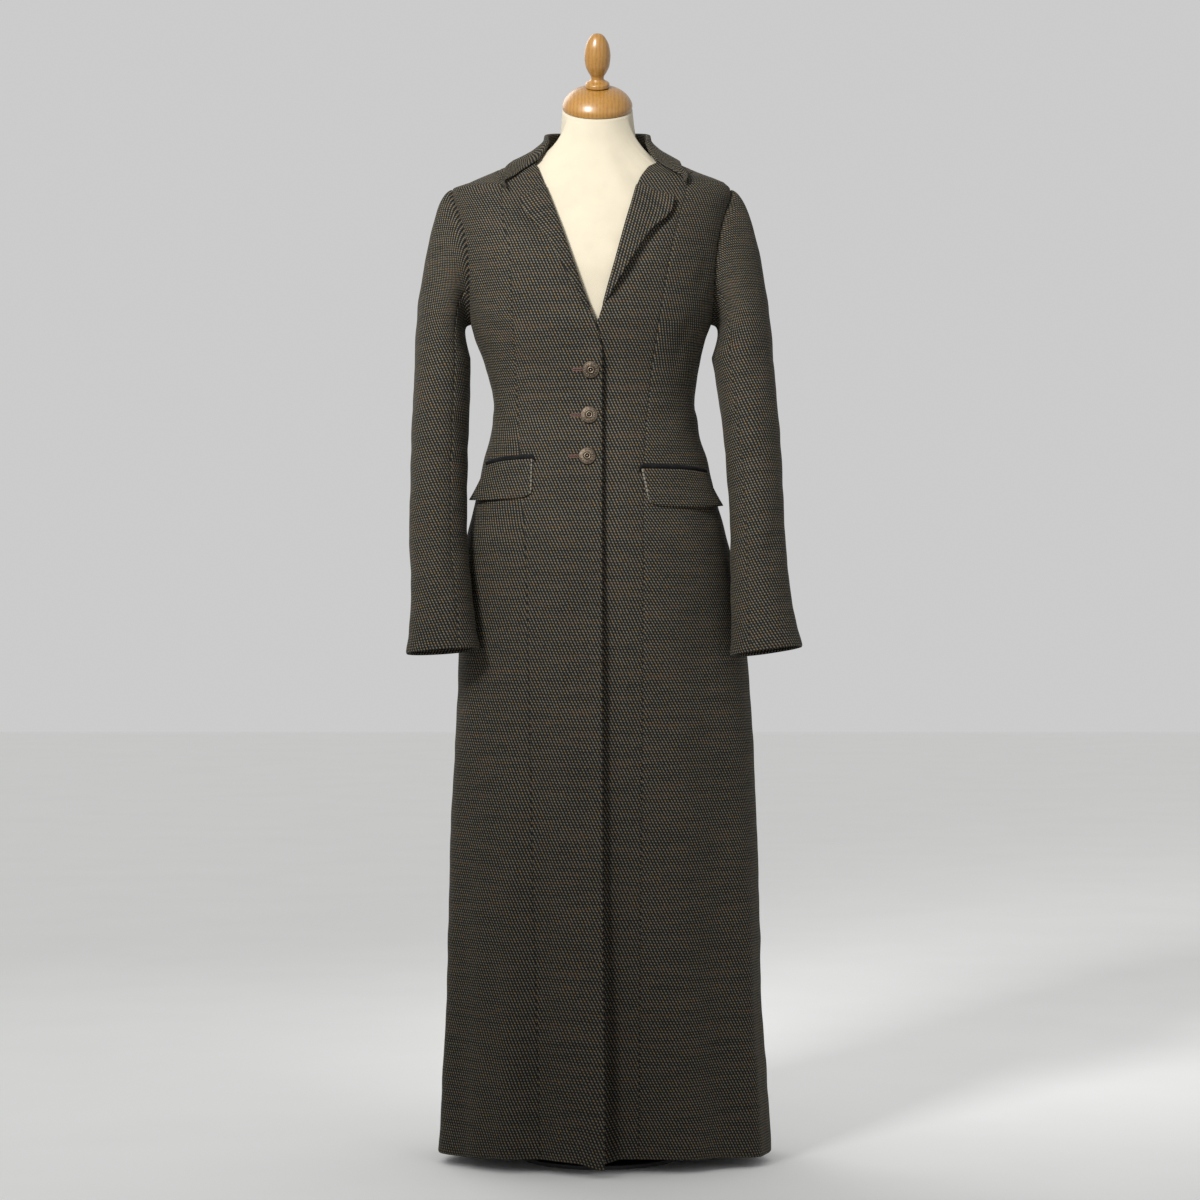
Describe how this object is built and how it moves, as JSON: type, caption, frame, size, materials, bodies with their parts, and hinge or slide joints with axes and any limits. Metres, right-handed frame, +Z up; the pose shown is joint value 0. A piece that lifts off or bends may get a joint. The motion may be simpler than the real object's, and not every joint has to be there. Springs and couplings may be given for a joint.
{
  "type": "tweed coat on a dress form",
  "caption": "Long fitted tweed frock coat with notched lapels, hip flaps under velvet welts and domed metal buttons, standing on a limbless cloth dress form with a turned wood cap.",
  "frame": {"origin": "on the floor under the stand's foot, below the middle of the coat", "axes": "+Z up; -Y is the way the coat faces; -X is the wearer's right, the side that laps over"},
  "size_m": [0.524, 0.3221, 1.5242],
  "materials": {
    "tweed": "woollen twill, dark olive brown with tan and rust flecks",
    "velvet": "midnight velvet",
    "pewter": "antiqued metal",
    "form_cloth": "plain ivory cotton",
    "wood": "turned and varnished",
    "iron": "black satin"
  },
  "bodies": {
    "root": {"front_right": "tweed", "side_right": "tweed", "back_right": "tweed", "lapel_right": "tweed", "flap_right": "tweed", "sleeve_right_upper": "tweed", "sleeve_right_under": "tweed", "welt_right": "velvet", "front_left": "tweed", "side_left": "tweed", "back_left": "tweed", "lapel_left": "tweed", "flap_left": "tweed", "sleeve_left_upper": "tweed", "sleeve_left_under": "tweed", "welt_left": "velvet", "collar": "tweed", "button_1": "pewter", "button_2": "pewter", "button_3": "pewter", "form_torso": "form_cloth", "form_neck_cap": "wood", "form_finial": "wood", "stand_pole": "iron", "stand_base": "iron"}
  },
  "joints": []
}
